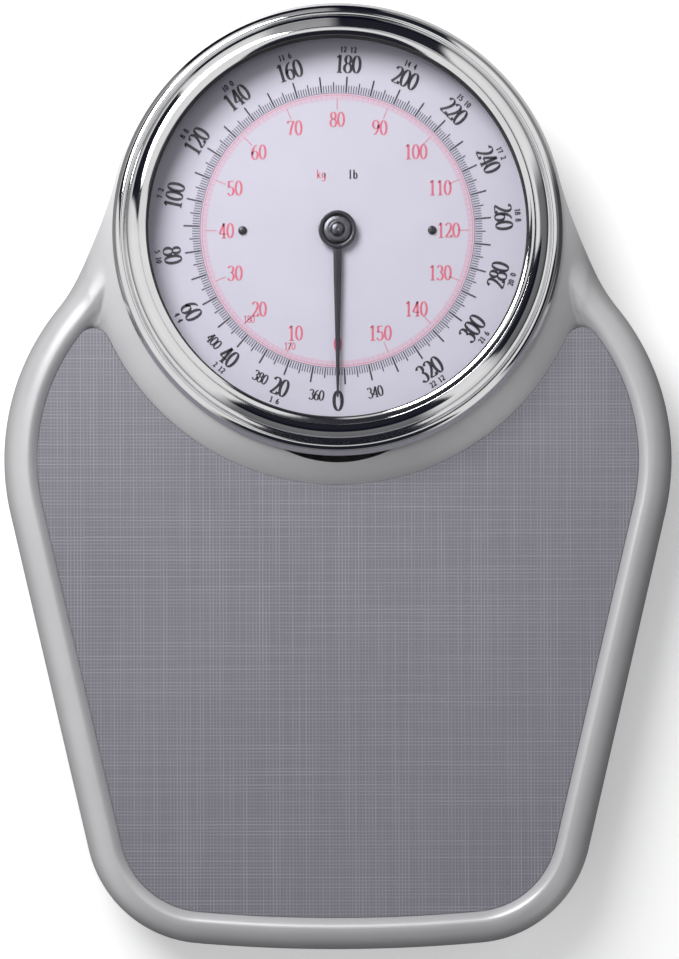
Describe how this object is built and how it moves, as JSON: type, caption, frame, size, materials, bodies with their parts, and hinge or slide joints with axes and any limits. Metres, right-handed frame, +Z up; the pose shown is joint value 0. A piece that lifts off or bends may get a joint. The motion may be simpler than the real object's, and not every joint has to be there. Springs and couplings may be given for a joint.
{
  "type": "mechanical dial platform scale",
  "caption": "Flat bathroom scale with a silver shell, grey woven-look mat and a large round dial under a chrome bezel; levers, springs and a rack turn its pointer.",
  "frame": {"origin": "on the floor, under the middle of the overall length and width", "axes": "+Z up, +Y from the user's end to the dial's end, +X to the user's right"},
  "size_m": [0.307, 0.43, 0.064],
  "materials": {
    "silver_paint": "satin silver-grey stove enamel",
    "grey_vinyl": "woven-look vinyl with fine lighter threads both ways",
    "chrome": "bright polished plating",
    "glass": "flat clear pane",
    "dial_white": "matt lilac-white print base",
    "black_enamel": "semi-gloss black",
    "black_plastic": "moulded, fine grain",
    "rubber": "dull black",
    "zinc_steel": "zinc plated pressings",
    "spring_steel": "hardened, oiled",
    "brass": "turned or stamped, lightly dulled",
    "grey_paint": "plain grey stove enamel"
  },
  "bodies": {
    "base": {"base_pan": "grey_paint", "foot_front_right": "rubber", "foot_front_left": "rubber", "foot_rear_right": "rubber", "foot_rear_left": "rubber", "fulcrum_bracket_front_right": "zinc_steel", "fulcrum_bracket_front_left": "zinc_steel", "fulcrum_bracket_rear_right": "zinc_steel", "fulcrum_bracket_rear_left": "zinc_steel", "housing_post_front": "brass", "housing_post_right": "brass", "housing_post_left": "brass", "post_screw_front": "zinc_steel", "post_screw_right": "zinc_steel", "post_screw_left": "zinc_steel", "dial_housing": "grey_paint", "dial_plate": "dial_white", "dial_screw_right": "black_enamel", "dial_screw_left": "black_enamel", "lens_seal": "rubber", "lens": "glass", "bezel": "chrome", "pinion_bush": "brass", "pinion_bridge": "zinc_steel", "rack_guide": "zinc_steel", "crank_bracket": "zinc_steel", "crank_pin": "spring_steel", "spring_tower": "zinc_steel", "anchor_pin": "spring_steel", "main_spring_right": "spring_steel", "main_spring_left": "spring_steel", "return_spring": "spring_steel", "return_spring_post": "brass"},
    "platform": {"platform_shell": "silver_paint", "platform_mat": "grey_vinyl", "stirrup_front_right": "zinc_steel", "stirrup_front_left": "zinc_steel", "stirrup_rear_right": "zinc_steel", "stirrup_rear_left": "zinc_steel"},
    "long_lever_right": {"long_lever_right": "zinc_steel", "long_lever_right_fulcrum_knife": "spring_steel", "long_lever_right_load_knife": "spring_steel"},
    "long_lever_left": {"long_lever_left": "zinc_steel", "long_lever_left_fulcrum_knife": "spring_steel", "long_lever_left_load_knife": "spring_steel"},
    "short_lever_right": {"short_lever_right": "zinc_steel", "short_lever_right_fulcrum_knife": "spring_steel", "short_lever_right_load_knife": "spring_steel"},
    "short_lever_left": {"short_lever_left": "zinc_steel", "short_lever_left_fulcrum_knife": "spring_steel", "short_lever_left_load_knife": "spring_steel"},
    "nose": {"nose_plate": "zinc_steel"},
    "crank": {"bell_crank": "zinc_steel"},
    "rack": {"rack": "brass"},
    "pointer": {"pinion_shaft": "brass", "pointer": "black_enamel", "pointer_cap": "black_enamel"},
    "zero_wheel": {"zero_wheel": "black_plastic"},
    "anchor": {"anchor_arm": "zinc_steel", "zero_nut": "brass"}
  },
  "joints": [
    {"name": "platform_slide", "type": "slide", "parent": "base", "child": "platform", "axis": [0, 0, 1], "range_m": [-0.00087693, 0], "stiffness_N_per_m": 2000000, "springref_m": 0.00002},
    {"name": "long_lever_right_rock", "type": "hinge", "parent": "base", "child": "long_lever_right", "pos_m": [0.08202, -0.16832, 0.019], "axis": [1, 0, 0], "range_deg": [-2.09, 0]},
    {"name": "long_lever_left_rock", "type": "hinge", "parent": "base", "child": "long_lever_left", "pos_m": [-0.08202, -0.16832, 0.019], "axis": [1, 0, 0], "range_deg": [-2.09, 0]},
    {"name": "short_lever_right_rock", "type": "hinge", "parent": "base", "child": "short_lever_right", "pos_m": [0.104, 0.03, 0.019], "axis": [1, 0, 0], "range_deg": [0, 2.09]},
    {"name": "short_lever_left_rock", "type": "hinge", "parent": "base", "child": "short_lever_left", "pos_m": [-0.104, 0.03, 0.019], "axis": [1, 0, 0], "range_deg": [0, 2.09]},
    {"name": "nose_slide", "type": "slide", "parent": "base", "child": "nose", "axis": [0, 0, 1], "range_m": [-0.01201, 0], "deforming": ["main_spring_right", "main_spring_left"]},
    {"name": "crank_rock", "type": "hinge", "parent": "base", "child": "crank", "pos_m": [0, 0.13978, 0.0198], "axis": [1, 0, 0], "range_deg": [-51.95, 0], "deforming": ["return_spring"]},
    {"name": "rack_slide", "type": "slide", "parent": "base", "child": "rack", "axis": [0, 1, 0], "range_m": [0, 0.01945]},
    {"name": "pointer_turn", "type": "hinge", "parent": "base", "child": "pointer", "pos_m": [0, 0.1125, 0.04], "axis": [0, 0, 1], "range_deg": [-405.2, 0]},
    {"name": "zero_wheel_turn", "type": "hinge", "parent": "base", "child": "zero_wheel", "pos_m": [0, 0.1921, 0.012], "axis": [0, 0, 1], "range_deg": [-360, 360]},
    {"name": "anchor_arm_rock", "type": "hinge", "parent": "base", "child": "anchor", "pos_m": [0, 0.1781, 0.0375], "axis": [1, 0, 0], "range_deg": [-3.28, 3.28], "deforming": ["main_spring_right", "main_spring_left"]}
  ],
  "couplings": [
    {"joint": "long_lever_right_rock", "follows": "platform_slide", "rad_per_m": 41.667},
    {"joint": "long_lever_left_rock", "follows": "platform_slide", "rad_per_m": 41.667},
    {"joint": "short_lever_right_rock", "follows": "platform_slide", "rad_per_m": -41.667},
    {"joint": "short_lever_left_rock", "follows": "platform_slide", "rad_per_m": -41.667},
    {"joint": "nose_slide", "follows": "platform_slide", "ratio": 13.684},
    {"joint": "crank_rock", "follows": "platform_slide", "rad_per_m": 1033.5},
    {"joint": "rack_slide", "follows": "platform_slide", "ratio": -22.167},
    {"joint": "pointer_turn", "follows": "platform_slide", "rad_per_m": 8060.6},
    {"joint": "anchor_arm_rock", "follows": "zero_wheel_turn", "ratio": 0.0090946}
  ]
}
